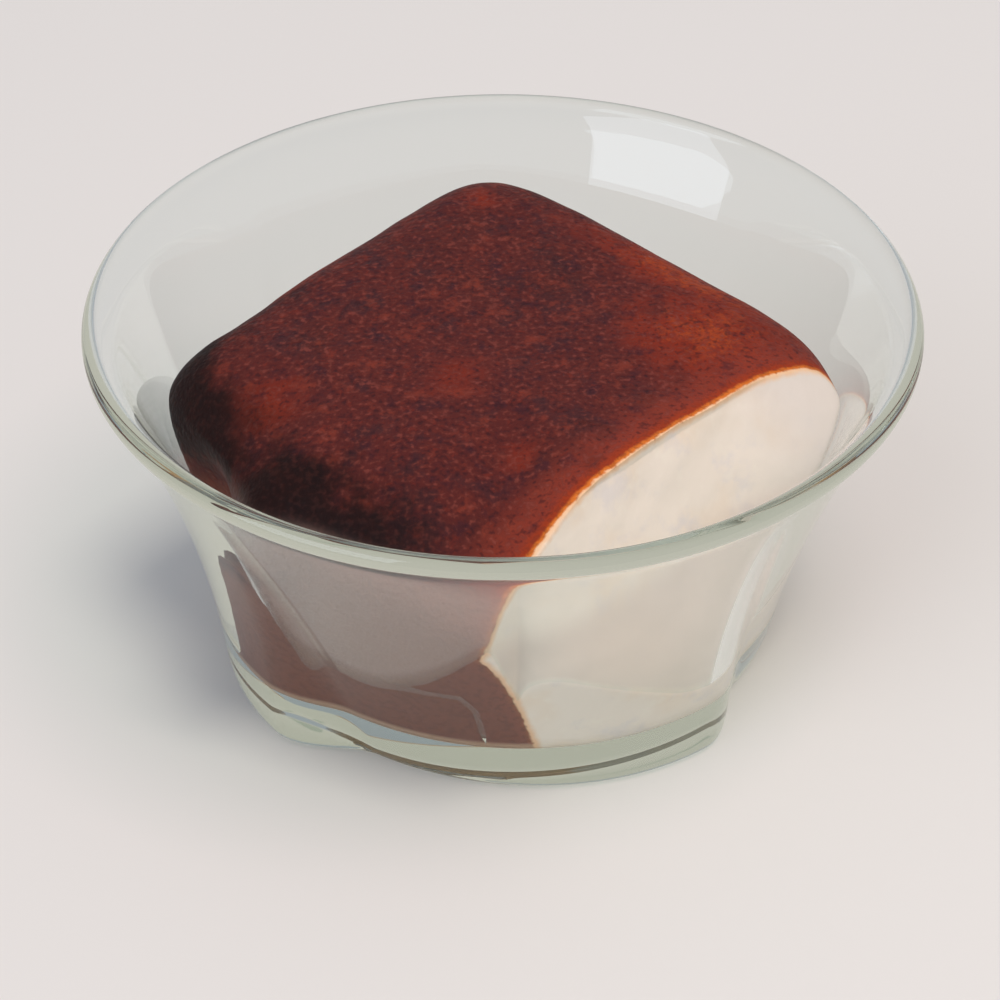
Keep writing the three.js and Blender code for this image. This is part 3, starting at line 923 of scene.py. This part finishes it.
def caramelised_pudding():
    material = bpy.data.materials.new("caramelised milk skin on milk pudding")
    material.use_nodes = True
    tree = material.node_tree
    tree.nodes.clear()
    sources = pudding_noises(tree)
    stored = {
        name: add_node(tree, "ShaderNodeAttribute", attribute_name=name).outputs["Fac"]
        for name in STORED
    }
    sources.update(stored)
    for name, noise_name, area, weight in BROKEN_BORDERS:
        sources[name] = add_node(tree, "ShaderNodeMath", {
            0: stored[area],
            1: weight,
            2: sources[noise_name],
        }, operation="MULTIPLY_ADD").outputs[0]
    wander = add_node(tree, "ShaderNodeMath", {
        0: sources["fleck"], 1: EDGE_WANDER, 2: -EDGE_WANDER / 2,
    }, operation="MULTIPLY_ADD")
    sources["edge"] = add_node(tree, "ShaderNodeMath", {
        0: stored["from_edge"], 1: wander.outputs[0],
    }, operation="ADD").outputs[0]

    skin = layered(tree, sources, SKIN, SKIN_LAYERS)
    cream = layered(tree, sources, CREAM, CREAM_LAYERS)
    on_skin = add_node(tree, "ShaderNodeMapRange", {
        "Value": sources["edge"], "From Min": SKIN_STARTS, "From Max": SKIN_FULL,
    }, interpolation_type="SMOOTHSTEP")
    visible_skin = add_node(tree, "ShaderNodeMath", {
        0: on_skin.outputs["Result"], 1: stored["under"],
    }, operation="SUBTRACT", use_clamp=True)
    colour = add_node(tree, "ShaderNodeMix", {0: visible_skin.outputs[0], 6: cream, 7: skin},
                      data_type="RGBA")

    roughness = add_node(tree, "ShaderNodeMapRange", {
        "Value": visible_skin.outputs[0], "To Min": CREAM_ROUGHNESS, "To Max": SKIN_ROUGHNESS,
    })
    skin_bump = add_node(tree, "ShaderNodeMath", {0: sources["grain"], 1: sources["fleck"]},
                         operation="ADD")
    height = add_node(tree, "ShaderNodeMix", {
        0: visible_skin.outputs[0], 2: sources["lump"], 3: skin_bump.outputs[0],
    })
    bump = add_node(tree, "ShaderNodeBump", {
        "Height": height.outputs[0], "Distance": BUMP_HEIGHT, "Strength": 1.0,
    })
    surface = add_node(tree, "ShaderNodeBsdfPrincipled", {
        "Base Color": colour.outputs[2],
        "Roughness": roughness.outputs["Result"],
        "IOR": PUDDING_IOR,
        "Specular IOR Level": PUDDING_SHINE,
        "Normal": bump.outputs[0],
    })
    add_node(tree, "ShaderNodeOutputMaterial", {"Surface": surface.outputs[0]})
    return material


pudding.data.materials.append(caramelised_pudding())
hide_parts("milk_pudding")
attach(pudding, "root")
print("pudding's material has", len(pudding.data.materials[0].node_tree.nodes), "nodes")

# %% [markdown]
# ## The place it stands and the light
#
# A pale floor and three soft sources: a warm key from the front right, a cool window at the
# front left that the glass mirrors at its back, and a dim room all round. The key isn't seen in
# the glass, so that the only bright shape there is the window.
#
# A ray mirrored many times inside the thick foot would come out black here, where a real foot
# gathers light from the lit table. So the floor glows softly, for those rays only.

# %% Floor
FLOOR_COLOUR = "#E4E1DE"
FLOOR_DROP = 0.15 * MM  # glass resting on a table touches it at a few points only
FLOOR_HALF = 3.0  # metres
FLOOR_ROUGHNESS = 0.6
THROUGH_FOOT = "#CFC9BC"  # the lit table as the thick foot gathers it


def table_top():
    material = bpy.data.materials.new("matt pale table")
    material.use_nodes = True
    tree = material.node_tree
    tree.nodes.clear()
    paint = add_node(tree, "ShaderNodeBsdfPrincipled", {
        "Base Color": linear(FLOOR_COLOUR),
        "Roughness": FLOOR_ROUGHNESS,
    })
    glow = add_node(tree, "ShaderNodeEmission", {"Color": linear(THROUGH_FOOT)})
    path = add_node(tree, "ShaderNodeLightPath")
    mirrored = add_node(tree, "ShaderNodeMath", {
        0: path.outputs["Glossy Depth"],
        1: MOST_MIRRORINGS + 0.5,
    }, operation="GREATER_THAN")
    mixed = add_node(tree, "ShaderNodeMixShader", {
        0: mirrored.outputs[0],
        1: paint.outputs[0],
        2: glow.outputs[0],
    })
    add_node(tree, "ShaderNodeOutputMaterial", {"Surface": mixed.outputs[0]})
    return material


corners = [(-1, -1), (1, -1), (1, 1), (-1, 1)]
floor = mesh_piece(
    "floor",
    np.array([[x * FLOOR_HALF, y * FLOOR_HALF, -FLOOR_DROP] for x, y in corners]),
    [(0, 1, 2, 3)],
)
floor.data.materials.append(table_top())
print("floor", 2 * FLOOR_HALF, "m wide")

# %% Lights
ROOM_COLOUR, ROOM_STRENGTH = "#D5DAE2", 0.6


def soft_light(name, azimuth, distance, middle, width, height, tilt, watts, colour):
    """A rectangular light beside the bowl, its middle at a height, tilted down by `tilt`."""
    data = bpy.data.lights.new(name, "AREA")
    data.shape = "RECTANGLE"
    data.size, data.size_y = width, height
    data.energy = watts
    data.color = linear(colour)[:3]
    light = bpy.data.objects.new(name, data)
    x, y = distance * sin(radians(azimuth)), -distance * cos(radians(azimuth))
    light.location = (x, y, middle)
    light.rotation_euler = (radians(90 - tilt), 0.0, radians(azimuth))
    bpy.context.collection.objects.link(light)
    return light


key = soft_light(
    "key", azimuth=52, distance=0.5, middle=1.45, width=0.6, height=0.6, tilt=70,
    watts=14.3, colour="#FFF1E6",
)
key.visible_glossy = False
key.visible_transmission = False
soft_light(
    "window", azimuth=-48.5, distance=1.6, middle=1.14, width=1.26, height=1.53, tilt=0,
    watts=12.0, colour="#E6F0FF",
)

world = bpy.data.worlds.new("room")
world.use_nodes = True
room = world.node_tree.nodes["Background"]
room.inputs["Color"].default_value = linear(ROOM_COLOUR)
room.inputs["Strength"].default_value = ROOM_STRENGTH
bpy.context.scene.world = world
bpy.context.scene.view_settings.view_transform = "Standard"
